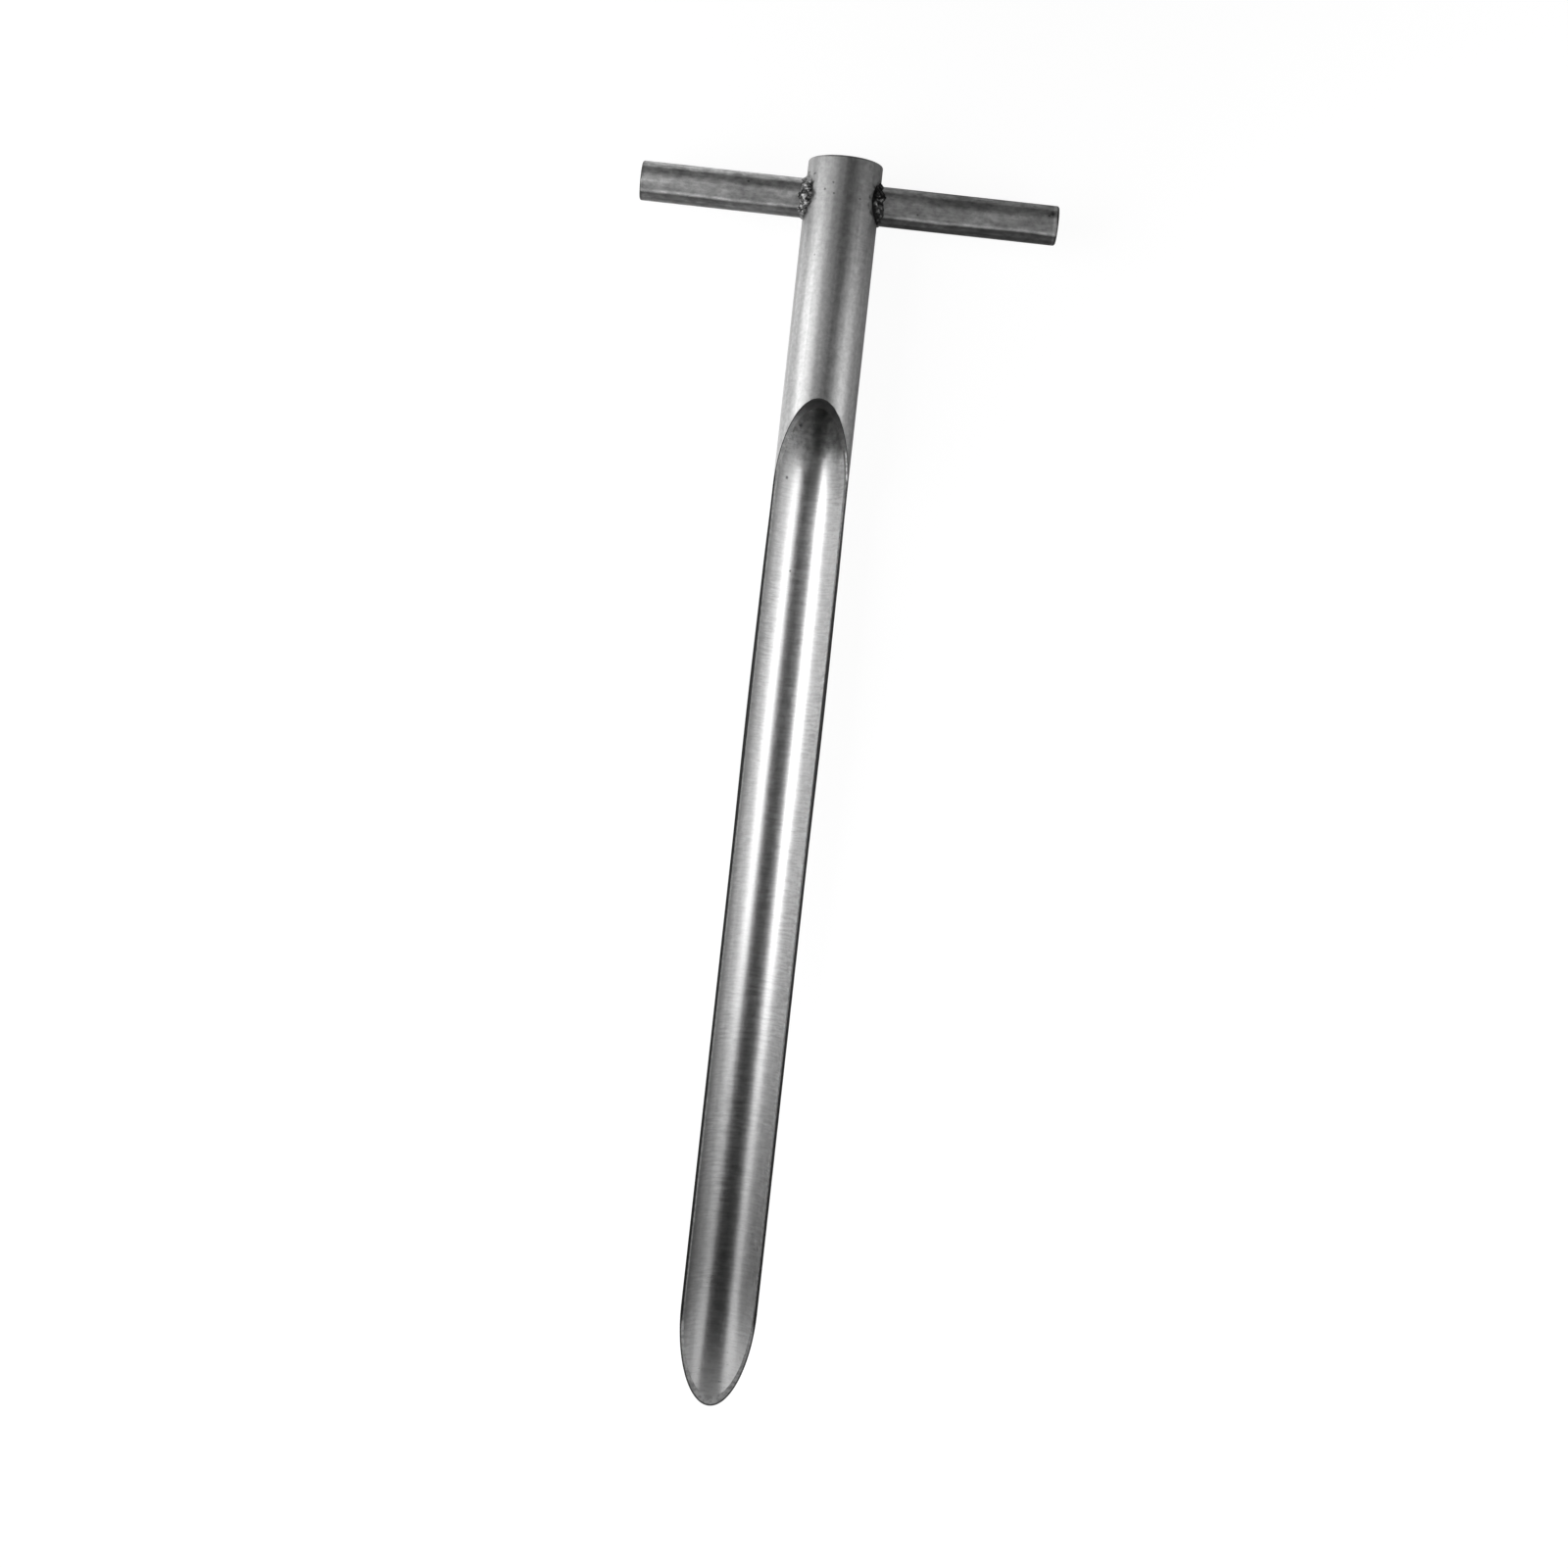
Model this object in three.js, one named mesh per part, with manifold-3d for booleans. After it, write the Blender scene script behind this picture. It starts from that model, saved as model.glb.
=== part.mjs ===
// Soil sampling probe. The front of a straight steel tube is cut away, from a long oblique
// shoulder down to an oblique tip. What is left is a half-round scoop that lifts out a core of
// soil. A round bar goes through the upper end and is welded on both sides as a T handle.
//
// Millimetres. The probe lies on its back: X runs along the handle, Y up the tube towards the
// handle, and Z out of the open scoop. The origin is on the surface that the probe lies on,
// under the middle of its length and of its handle.

import * as THREE from 'three';
import { mergeVertices } from 'three/addons/utils/BufferGeometryUtils.js';
import Module from 'manifold-3d';

// Probe tube
const tubeLength = 302.5;
const tubeDiameter = 18;
const tubeWall = 0.9;
const tubeEndRound = 0.5; // outer edge of the square upper end

// Scoop, cut out of the tube's front down to its middle plane
const shoulderDrop = 58; // from the upper end to the point of the shoulder
const shoulderRun = 22; // length of the shoulder's slope
const tipRun = 25.3; // length of the tip's slope
const cornerEase = 2.5; // the cut starts to bend this far from each corner
const lipSpread = 0.2; // each cut lip springs outwards by this much
const lipSpreadRun = 20; // length below the shoulder over which it does so
const bellySpread = 0.17; // further spread at the widest place
const bellyDrop = 133; // from the upper end to the widest place
const bellyReach = 40; // from the widest place to where the further spread ends

// Handle bar
const barLength = 100.5;
const barDiameter = 9.4;
const barWall = 1;
const barEndRound = 0.6; // outer edge of each end
const barDrop = 9.3; // from the tube's upper end to the bar's axis
const barOffset = 1.8; // the right arm is longer by twice this
const holeClearance = 0.25; // all round the bar where it passes through the tube

// Weld beads
const weldGap = 0.3; // between a bead and the steel that it lies on
const weldThinLeg = 0.4; // both legs of a bead, above and below the bar
const leftWeld = { barLeg: 3.1, tubeLeg: 1.6, ripples: 9, start: 0.4 };
const rightWeld = { barLeg: 2.4, tubeLeg: 1.3, ripples: 10, start: 1.9 };
const weldCrownShare = 0.14; // how far a bead's face stands out, of the width between its toes
const weldRippleShare = 0.22; // of a leg
const weldWanderShare = 0.12; // of a leg

// How finely round shapes are divided
const tubeSides = 64;
const scoopRings = 16;
const barSides = 48;
const weldSteps = 56;
const weldFacePoints = 4;
const roundSteps = 2;

const cutOverrun = 2; // how far every cut runs past what it cuts

// Places that follow from the sizes, measured from the middle of the tube's axis
const tubeRadius = tubeDiameter / 2;
const barRadius = barDiameter / 2;
const upperEnd = tubeLength / 2;
const tipEnd = -tubeLength / 2;
const shoulderPoint = upperEnd - shoulderDrop;
const shoulderFoot = shoulderPoint - shoulderRun;
const tipStart = tipEnd + tipRun;
const blankEnd = tipEnd - cutOverrun; // lower end of the tube before it is cut
const barHeight = upperEnd - barDrop;

const tubeSteel = new THREE.MeshStandardMaterial({ color: 0xb4b4b2, roughness: 0.32, metalness: 1 });
const barSteel = new THREE.MeshStandardMaterial({ color: 0x8e8e8c, roughness: 0.45, metalness: 1 });
const weldMetal = new THREE.MeshStandardMaterial({ color: 0x3a3938, roughness: 0.6, metalness: 0.9 });

const wasm = await Module();
wasm.setup();

// A closed geometry as a solid that can cut and be cut.
function toSolid(geometry) {
  const shell = geometry.clone();
  shell.deleteAttribute('normal');
  shell.deleteAttribute('uv');
  const welded = mergeVertices(shell);
  return new wasm.Manifold(new wasm.Mesh({
    numProp: 3,
    vertProperties: Float32Array.from(welded.attributes.position.array),
    triVerts: Uint32Array.from(welded.index.array),
  }));
}

function toGeometry(solid) {
  const faces = solid.getMesh();
  const geometry = new THREE.BufferGeometry();
  geometry.setAttribute('position', new THREE.BufferAttribute(faces.vertProperties, 3));
  geometry.setIndex(new THREE.BufferAttribute(faces.triVerts, 1));
  geometry.computeVertexNormals();
  return geometry;
}

function namedMesh(name, geometry, material) {
  const mesh = new THREE.Mesh(geometry, material);
  mesh.name = name;
  return mesh;
}

// A straight tube round the Y axis, with the outer edges of both ends rounded. Its outer and
// inner walls are divided into rings, so that the tube can be bent out of round afterwards.
function turnedTube(low, high, radius, wall, endRound, sides, rings = 1) {
  const inner = radius - wall;
  const outline = new THREE.Path();
  outline.moveTo(inner, low);
  outline.lineTo(radius - endRound, low);
  outline.absarc(radius - endRound, low + endRound, endRound, -Math.PI / 2, 0, false);
  for (let ring = 1; ring <= rings; ring++) {
    outline.lineTo(radius, THREE.MathUtils.lerp(low + endRound, high - endRound, ring / rings));
  }
  outline.absarc(radius - endRound, high - endRound, endRound, 0, Math.PI / 2, false);
  for (let ring = 0; ring <= rings; ring++) {
    outline.lineTo(inner, THREE.MathUtils.lerp(high, low, ring / rings));
  }
  return new THREE.LatheGeometry(outline.getPoints(roundSteps), sides);
}

// How far each side of the cut tube has sprung outwards at height y. A tube holds stress from
// its forming, and it opens a little once it is cut.
function spreadAt(y) {
  const opened = THREE.MathUtils.smoothstep(shoulderFoot - y, 0, lipSpreadRun);
  const fromBelly = (y - (upperEnd - bellyDrop)) / bellyReach;
  const belly = (1 + Math.cos(Math.PI * THREE.MathUtils.clamp(fromBelly, -1, 1))) / 2;
  return lipSpread * opened + bellySpread * belly;
}

function springOpen(geometry) {
  const places = geometry.attributes.position;
  for (let i = 0; i < places.count; i++) {
    places.setX(i, places.getX(i) * (1 + spreadAt(places.getY(i)) / tubeRadius));
  }
  return geometry;
}

// The point at a distance from one point towards another.
function towards(from, to, distance) {
  return to.clone().sub(from).setLength(distance).add(from);
}

// What is cut out of the tube's front. Its outline is the tube's side view, with Y across and
// Z up: down the shoulder's slope, along the tube's middle plane, and down the tip's slope.
function frontCut() {
  const foot = new THREE.Vector2(shoulderFoot, 0);
  const point = new THREE.Vector2(shoulderPoint, tubeRadius);
  const start = new THREE.Vector2(tipStart, 0);
  const tip = new THREE.Vector2(tipEnd, -tubeRadius);
  const aboveShoulder = towards(point, foot, -cutOverrun);
  const belowTip = towards(tip, start, -cutOverrun);
  const pastFoot = towards(foot, start, cornerEase);
  const pastStart = towards(start, tip, cornerEase);
  const outline = new THREE.Shape();
  outline.moveTo(aboveShoulder.x, aboveShoulder.y);
  outline.lineTo(...towards(foot, point, cornerEase));
  outline.quadraticCurveTo(foot.x, foot.y, pastFoot.x, pastFoot.y);
  outline.lineTo(...towards(start, foot, cornerEase));
  outline.quadraticCurveTo(start.x, start.y, pastStart.x, pastStart.y);
  outline.lineTo(belowTip.x, belowTip.y);
  outline.lineTo(blankEnd - cutOverrun, belowTip.y);
  outline.lineTo(blankEnd - cutOverrun, tubeRadius + cutOverrun);
  outline.lineTo(aboveShoulder.x, tubeRadius + cutOverrun);
  const width = tubeDiameter + 2 * (lipSpread + bellySpread + cutOverrun);
  const cut = new THREE.ExtrudeGeometry(outline, {
    depth: width,
    bevelEnabled: false,
    curveSegments: 2 * roundSteps,
  });
  cut.translate(0, 0, -width / 2);
  return cut.applyMatrix4(new THREE.Matrix4().makeBasis(
    new THREE.Vector3(0, 1, 0),
    new THREE.Vector3(0, 0, 1),
    new THREE.Vector3(1, 0, 0),
  ));
}

// The hole that the bar passes through, across both walls of the tube.
function barHole() {
  const radius = barRadius + holeClearance;
  const hole = new THREE.CylinderGeometry(radius, radius, tubeDiameter + 2 * cutOverrun, barSides);
  hole.rotateZ(Math.PI / 2);
  return hole.translate(0, barHeight, 0);
}

function probeTube() {
  const blank = turnedTube(
    blankEnd, upperEnd, tubeRadius, tubeWall, tubeEndRound, tubeSides, scoopRings,
  );
  const tube = toSolid(springOpen(blank))
    .subtract(toSolid(frontCut()))
    .subtract(toSolid(barHole()));
  return namedMesh('probe_tube', toGeometry(tube), tubeSteel);
}

function handleBar() {
  const half = barLength / 2;
  const bar = turnedTube(-half, half, barRadius, barWall, barEndRound, barSides);
  const mesh = namedMesh('handle_bar', bar, barSteel);
  mesh.rotation.z = -Math.PI / 2;
  mesh.position.set(barOffset, barHeight, 0);
  return mesh;
}

// Half the tube's width in X at a distance from the bar's axis, in the direction that the angle
// gives, counted from up the tube towards the front.
function tubeHalfWidth(distance, angle) {
  return Math.sqrt(tubeRadius ** 2 - (distance * Math.sin(angle)) ** 2);
}

// A weld bead's section at an angle round the bar. Each point is a distance from the bar's axis
// and a distance out from the tube's axis: the root in the corner, the toe on the tube, the
// face, and the toe on the bar.
function weldSection(weld, angle) {
  const heavy = Math.abs(Math.sin(angle));
  const ripple = weldRippleShare * Math.abs(Math.cos(weld.ripples * angle / 2 + weld.start));
  const wander = weldWanderShare * Math.cos(2 * angle + weld.start);
  const uneven = 1 - weldRippleShare + ripple + wander;
  const barLeg = uneven * THREE.MathUtils.lerp(weldThinLeg, weld.barLeg, heavy);
  const tubeLeg = uneven * THREE.MathUtils.lerp(weldThinLeg, weld.tubeLeg, heavy);
  const near = barRadius + weldGap;
  const far = near + tubeLeg;
  const root = new THREE.Vector2(near, tubeHalfWidth(near, angle) + weldGap);
  const tubeToe = new THREE.Vector2(far, tubeHalfWidth(far, angle) + weldGap);
  const barToe = new THREE.Vector2(near, root.y + barLeg);
  const across = barToe.clone().sub(tubeToe);
  const outwards = new THREE.Vector2(across.y, -across.x);
  const section = [root, tubeToe];
  for (let i = 1; i <= weldFacePoints; i++) {
    const share = i / (weldFacePoints + 1);
    const bulge = weldCrownShare * Math.sin(Math.PI * share);
    section.push(tubeToe.clone().lerp(barToe, share).addScaledVector(outwards, bulge));
  }
  section.push(barToe);
  return section;
}

// A weld bead that runs all the way round the bar, on the left (side -1) or the right (side 1)
// of the tube.
function weldBead(name, weld, side) {
  const corners = [];
  const triangles = [];
  let count = 0;
  for (let step = 0; step < weldSteps; step++) {
    const angle = 2 * Math.PI * step / weldSteps;
    const section = weldSection(weld, angle);
    count = section.length;
    for (const spot of section) {
      corners.push(side * spot.y, barHeight + spot.x * Math.cos(angle), spot.x * Math.sin(angle));
    }
    for (let i = 0; i < count; i++) {
      const here = [step * count + i, step * count + (i + 1) % count];
      const next = here.map((corner) => (corner + count) % (weldSteps * count));
      const quad = [here[0], here[1], next[0], next[0], here[1], next[1]];
      triangles.push(...(side > 0 ? quad.reverse() : quad));
    }
  }
  const bead = new THREE.BufferGeometry();
  bead.setAttribute('position', new THREE.Float32BufferAttribute(corners, 3));
  bead.setIndex(triangles);
  bead.computeVertexNormals();
  return namedMesh(name, bead, weldMetal);
}

const probe = new THREE.Group();
probe.add(
  probeTube(),
  handleBar(),
  weldBead('weld_bead_left', leftWeld, -1),
  weldBead('weld_bead_right', rightWeld, 1),
);
probe.position.set(-barOffset, 0, tubeRadius);

const model = new THREE.Group();
model.add(probe);

export default model;
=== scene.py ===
# Soil sampling probe, dressed as in its photograph: a polished steel tube cut open into a scoop,
# a duller handle bar through its upper end, and two dark weld beads. The probe lies on its back
# on a white floor, and the camera looks straight down on it.
#
# Metres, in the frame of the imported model: X along the handle bar, Y up the tube, Z out of the
# scoop.

import math
import random

import bmesh
import bpy
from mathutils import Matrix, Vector, noise


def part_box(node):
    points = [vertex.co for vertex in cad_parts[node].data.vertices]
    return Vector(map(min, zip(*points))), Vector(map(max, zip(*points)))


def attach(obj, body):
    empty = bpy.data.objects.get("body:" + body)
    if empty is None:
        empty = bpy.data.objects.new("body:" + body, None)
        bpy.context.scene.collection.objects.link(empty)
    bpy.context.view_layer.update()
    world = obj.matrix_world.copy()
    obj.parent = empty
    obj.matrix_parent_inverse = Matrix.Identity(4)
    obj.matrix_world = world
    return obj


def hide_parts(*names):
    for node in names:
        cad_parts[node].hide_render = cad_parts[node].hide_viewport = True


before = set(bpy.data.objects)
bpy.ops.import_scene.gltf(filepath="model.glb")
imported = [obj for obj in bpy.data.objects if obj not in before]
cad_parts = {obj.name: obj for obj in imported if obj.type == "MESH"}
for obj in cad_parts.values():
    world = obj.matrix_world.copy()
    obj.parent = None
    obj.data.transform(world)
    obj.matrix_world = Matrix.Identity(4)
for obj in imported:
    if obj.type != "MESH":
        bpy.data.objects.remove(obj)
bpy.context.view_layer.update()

MM = 0.001

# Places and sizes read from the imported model
tube_low, tube_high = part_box("probe_tube")
bar_low, bar_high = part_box("handle_bar")
AXIS_X = (tube_low.x + tube_high.x) / 2
AXIS_Z = (bar_low.z + bar_high.z) / 2
TUBE_RADIUS = (tube_high.z - tube_low.z) / 2
UPPER_END = tube_high.y
TIP_END = tube_low.y
BAR_Y = (bar_low.y + bar_high.y) / 2
BAR_RADIUS = (bar_high.y - bar_low.y) / 2

# Sizes that the CAD source names
TUBE_WALL = 0.9 * MM
TUBE_END_ROUND = 0.5 * MM
SHOULDER_DROP = 58 * MM
SHOULDER_RUN = 22 * MM
TIP_RUN = 25.3 * MM
CORNER_EASE = 2.5 * MM
LIP_SPREAD = 0.2 * MM
LIP_SPREAD_RUN = 20 * MM
BELLY_SPREAD = 0.17 * MM
BELLY_DROP = 133 * MM
BELLY_REACH = 40 * MM
BAR_WALL = 1 * MM
BAR_END_ROUND = 0.6 * MM
HOLE_CLEARANCE = 0.25 * MM

# Places that follow
SHOULDER_FOOT = UPPER_END - SHOULDER_DROP - SHOULDER_RUN
SHOULDER_POINT = UPPER_END - SHOULDER_DROP
TIP_START = TIP_END + TIP_RUN
TUBE_INNER = TUBE_RADIUS - TUBE_WALL
BAR_INNER = BAR_RADIUS - BAR_WALL
TUBE_LEFT = AXIS_X - TUBE_RADIUS
TUBE_RIGHT = AXIS_X + TUBE_RADIUS
BORE_LEFT = AXIS_X - TUBE_INNER
BORE_RIGHT = AXIS_X + TUBE_INNER
HALF_LEFT = AXIS_X - TUBE_RADIUS / 2
HALF_RIGHT = AXIS_X + TUBE_RADIUS / 2


# Meshes


def smoothstep(value):
    share = min(max(value, 0.0), 1.0)
    return share * share * (3 - 2 * share)


def lerp(start, end, share):
    return start + (end - start) * share


def steps(start, end, count, first=0):
    """Evenly spaced numbers from start to end, without the first few where they exist already."""
    return [lerp(start, end, i / count) for i in range(first, count + 1)]


def new_piece(name, mesh):
    """A piece of the probe: it rides on the one body, and takes its finish from its mesh's materials.
    """
    piece = bpy.data.objects.new(name, mesh)
    bpy.context.scene.collection.objects.link(piece)
    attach(piece, "root")
    return piece


def mesh_from(name, corners, faces, materials):
    """A smooth mesh. Each face is (corner numbers, material number)."""
    mesh = bpy.data.meshes.new(name)
    mesh.from_pydata([tuple(c) for c in corners], [], [f[0] for f in faces])
    for polygon, face in zip(mesh.polygons, faces):
        polygon.material_index = face[1]
        polygon.use_smooth = True
    for material in materials:
        mesh.materials.append(material)
    mesh.update()
    return mesh


def apply_modifiers(piece):
    """Puts the mesh that a piece's modifiers make in place of its own."""
    shown = piece.evaluated_get(bpy.context.evaluated_depsgraph_get())
    made = bpy.data.meshes.new_from_object(shown)
    piece.modifiers.clear()
    piece.data = made


def shade_by_area(piece):
    """Smooth shading that keeps large faces flat beside their rounded edges."""
    shading = piece.modifiers.new("shading", "WEIGHTED_NORMAL")
    shading.weight = 100


# Probe tube

QUARTER_COLUMNS = 44
COLUMN_CROWDING = 1.5  # columns stand closer together towards the lips
ROWS_TIP = 30
ROWS_SCOOP = 70
ROWS_SHOULDER = 30
ROWS_UPPER = 20
TIP_ROWS_END = TIP_START + 20 * MM
SHOULDER_ROWS_END = SHOULDER_POINT + 6 * MM
SCOOP_UPPER_END = SHOULDER_FOOT - CORNER_EASE
OUTER, INNER, CUT = range(3)
RIM_STEPS = 6
LIP_ROUND = 0.25 * MM  # inner edge of the lips and the tip, where the burr was taken off
EDGE_ROUND = 0.09 * MM  # every other sharp edge
EDGE_ANGLE = math.radians(30)
ROUNDING_SEGMENTS = 3
CUTTER_SIDES = 96


def spread_at(y):
    """How far each side of the cut tube has sprung outwards, as in the CAD source."""
    opened = smoothstep((SHOULDER_FOOT - y) / LIP_SPREAD_RUN)
    from_belly = (y - (UPPER_END - BELLY_DROP)) / BELLY_REACH
    belly = (1 + math.cos(math.pi * min(max(from_belly, -1.0), 1.0))) / 2
    return LIP_SPREAD * opened + BELLY_SPREAD * belly


def tube_point(radius, angle, y):
    """A point on the tube. The angle counts from the front, towards +X."""
    widened = 1 + spread_at(y) / TUBE_RADIUS
    x = AXIS_X + radius * math.sin(angle) * widened
    return Vector((x, y, AXIS_Z + radius * math.cos(angle)))


def cut_edge(rise, corner, run, flat):
    """Height y of the cut where it is a distance in front of or behind the tube's middle plane.
    The cut is a slope with this run over the radius. It is eased at its corner into the flat of
    the lips, which goes down the tube from there where flat is -1, and up where it is 1."""
    slope = math.hypot(run, TUBE_RADIUS)
    eased_rise = CORNER_EASE * TUBE_RADIUS / slope
    if abs(rise) >= eased_rise:
        return corner + run * abs(rise) / TUBE_RADIUS
    share = 1 - math.sqrt(abs(rise) / eased_rise)
    on_slope = (1 - share) ** 2 * CORNER_EASE * run / slope
    return corner + on_slope + share**2 * CORNER_EASE * flat


def column_angle(column):
    """Where a column of corners stands round the tube, counted from the front."""
    quarter, place = divmod(column, QUARTER_COLUMNS)
    share = place / QUARTER_COLUMNS
    if quarter % 2 == 0:
        share = 1 - (1 - share) ** COLUMN_CROWDING
    else:
        share = share**COLUMN_CROWDING
    return math.radians(90) * (quarter + share)


def upper_rows(radius):
    """Heights of the corners above the shoulder. The outer wall's end where its rounding begins."""
    end = UPPER_END - TUBE_END_ROUND if radius == TUBE_RADIUS else UPPER_END
    return steps(SHOULDER_ROWS_END, end, ROWS_UPPER, 1)


def rim_points(angle):
    """The rounding of the upper end's outer edge at one angle, from the wall inwards."""
    points = []
    for step in range(1, RIM_STEPS + 1):
        turn = math.radians(90) * step / RIM_STEPS
        radius = TUBE_RADIUS - TUBE_END_ROUND * (1 - math.cos(turn))
        y = UPPER_END - TUBE_END_ROUND * (1 - math.sin(turn))
        points.append(tube_point(radius, angle, y))
    return points


def front_rows(radius, angle):
    """Heights of the corners in a column at the front, from the shoulder's cut upwards."""
    edge = cut_edge(radius * math.cos(angle), SHOULDER_FOOT, SHOULDER_RUN, -1)
    return steps(edge, SHOULDER_ROWS_END, ROWS_SHOULDER) + upper_rows(radius)


def back_rows(radius, angle):
    """Heights of the corners in a column at the back, from the tip's cut upwards."""
    edge = cut_edge(radius * math.cos(angle), TIP_START, -TIP_RUN, 1)
    rows = steps(edge, TIP_ROWS_END, ROWS_TIP)
    rows += steps(TIP_ROWS_END, SCOOP_UPPER_END, ROWS_SCOOP, 1)
    rows += steps(SCOOP_UPPER_END, SHOULDER_ROWS_END, ROWS_SHOULDER, 1)
    return rows + upper_rows(radius)


def tube_wall(radius, corners):
    """Adds one wall's corners. Returns its columns, each from its cut edge up to the upper end,
    and the corner numbers round the cut edge. The two columns at the lips are shared by the back
    and the front, so they come as back columns, and the front uses their upper part."""
    back_range = range(QUARTER_COLUMNS, 3 * QUARTER_COLUMNS + 1)
    columns = []
    for column in range(4 * QUARTER_COLUMNS):
        angle = column_angle(column)
        rows = back_rows(radius, angle) if column in back_range else front_rows(radius, angle)
        first = len(corners)
        corners.extend(tube_point(radius, angle, y) for y in rows)
        if radius == TUBE_RADIUS:
            corners.extend(rim_points(angle))
        columns.append(list(range(first, len(corners))))
    lip_rows = ROWS_TIP + ROWS_SCOOP
    edge = [columns[c][0] for c in range(QUARTER_COLUMNS)]
    edge += columns[QUARTER_COLUMNS][lip_rows::-1]
    edge += [columns[c][0] for c in range(QUARTER_COLUMNS + 1, 3 * QUARTER_COLUMNS)]
    edge += columns[3 * QUARTER_COLUMNS][: lip_rows + 1]
    edge += [columns[c][0] for c in range(3 * QUARTER_COLUMNS + 1, 4 * QUARTER_COLUMNS)]
    return columns, edge


def wall_faces(columns, kind):
    faces = []
    count = len(columns)
    for column in range(count):
        left, right = columns[column], columns[(column + 1) % count]
        shared = min(len(left), len(right))
        left, right = left[-shared:], right[-shared:]
        for row in range(shared - 1):
            quad = [left[row], right[row], right[row + 1], left[row + 1]]
            faces.append((quad if kind == OUTER else quad[::-1], kind))
    return faces


def strip_faces(first, second, kind):
    """Faces between two closed rows of corners."""
    count = len(first)
    return [
        ([first[i], second[i], second[(i + 1) % count], first[(i + 1) % count]], kind)
        for i in range(count)
    ]


def bore_cutter(radius, half_length):
    """A round bar along X at the handle's place, to cut the tube's two holes."""
    cutter = bpy.data.meshes.new("cutter")
    shape = bmesh.new()
    rings = []
    for x in (AXIS_X - half_length, AXIS_X + half_length):
        ring = []
        for side in range(CUTTER_SIDES):
            angle = math.tau * side / CUTTER_SIDES
            place = (x, BAR_Y + radius * math.cos(angle), AXIS_Z + radius * math.sin(angle))
            ring.append(shape.verts.new(place))
        rings.append(ring)
    for side in range(CUTTER_SIDES):
        after = (side + 1) % CUTTER_SIDES
        shape.faces.new([rings[0][side], rings[1][side], rings[1][after], rings[0][after]])
    shape.faces.new(rings[0])
    shape.faces.new(rings[1][::-1])
    bmesh.ops.recalc_face_normals(shape, faces=shape.faces)
    shape.to_mesh(cutter)
    shape.free()
    made = bpy.data.objects.new("cutter", cutter)
    bpy.context.scene.collection.objects.link(made)
    return made


def mark_cut_edges(mesh):
    """Gives every sharp edge a bevel weight: its rounding as a share of the lips'."""
    shape = bmesh.new()
    shape.from_mesh(mesh)
    weights = shape.edges.layers.float.new("bevel_weight_edge")
    for edge in shape.edges:
        if len(edge.link_faces) != 2 or edge.calc_face_angle() < EDGE_ANGLE:
            continue
        middle = (edge.verts[0].co + edge.verts[1].co) / 2
        from_axis = math.hypot(middle.x - AXIS_X, middle.z - AXIS_Z)
        at_lip = middle.y < SHOULDER_FOOT and from_axis < TUBE_RADIUS - TUBE_WALL / 2
        edge[weights] = 1.0 if at_lip else EDGE_ROUND / LIP_ROUND
    shape.to_mesh(mesh)
    shape.free()


def probe_tube(materials):
    corners = []
    outer, outer_edge = tube_wall(TUBE_RADIUS, corners)
    inner, inner_edge = tube_wall(TUBE_INNER, corners)
    faces = wall_faces(outer, OUTER) + wall_faces(inner, INNER)
    faces += strip_faces(inner_edge, outer_edge, CUT)
    faces += strip_faces([c[-1] for c in outer], [c[-1] for c in inner], OUTER)
    tube = new_piece("tube", mesh_from("tube", corners, faces, materials))
    cutter = bore_cutter(BAR_RADIUS + HOLE_CLEARANCE, 2 * TUBE_RADIUS)
    holes = tube.modifiers.new("holes", "BOOLEAN")
    holes.object = cutter
    holes.solver = "EXACT"
    apply_modifiers(tube)
    bpy.data.objects.remove(cutter)
    mark_cut_edges(tube.data)
    rounding = tube.modifiers.new("rounding", "BEVEL")
    rounding.limit_method = "WEIGHT"
    rounding.width = LIP_ROUND
    rounding.segments = ROUNDING_SEGMENTS
    rounding.use_clamp_overlap = True
    shade_by_area(tube)
    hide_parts("probe_tube")


# Handle bar

BAR_SIDES = 96
BAR_ROWS = 48
BORE_ROUND = 0.15 * MM
ROUND_STEPS = 5


def bar_outline():
    """The bar's section as a closed row of (x, radius): from its bore round the left end, along
    the outside, round the right end and back along the bore."""
    outline = []
    for end, way in ((bar_low.x, 1), (bar_high.x, -1)):
        bend = []
        for step in range(ROUND_STEPS + 1):
            angle = math.radians(90) * step / ROUND_STEPS
            x = end + way * BORE_ROUND * (1 - math.sin(angle))
            bend.append((x, BAR_INNER + BORE_ROUND * (1 - math.cos(angle))))
        for step in range(ROUND_STEPS + 1):
            angle = math.radians(90) * step / ROUND_STEPS
            x = end + way * BAR_END_ROUND * (1 - math.cos(angle))
            bend.append((x, BAR_RADIUS - BAR_END_ROUND * (1 - math.sin(angle))))
        outline.append(bend)
    left, right = outline
    outside = [(x, BAR_RADIUS) for x in steps(left[-1][0], right[-1][0], BAR_ROWS, 1)]
    bore = [(x, BAR_INNER) for x in steps(right[0][0], left[0][0], BAR_ROWS, 1)]
    return left + outside[:-1] + right[::-1] + bore[:-1]


def handle_bar(materials):
    outline = bar_outline()
    count = len(outline)
    corners = []
    faces = []
    for side in range(BAR_SIDES):
        angle = math.tau * side / BAR_SIDES
        for x, radius in outline:
            corners.append((x, BAR_Y + radius * math.sin(angle), AXIS_Z + radius * math.cos(angle)))
        for i in range(count):
            here = [side * count + i, side * count + (i + 1) % count]
            there = [(c + count) % (BAR_SIDES * count) for c in here]
            faces.append(([here[1], here[0], there[0], there[1]], 0))
    bar = new_piece("bar", mesh_from("bar", corners, faces, materials))
    shade_by_area(bar)
    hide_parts("handle_bar")


# Weld beads

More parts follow.
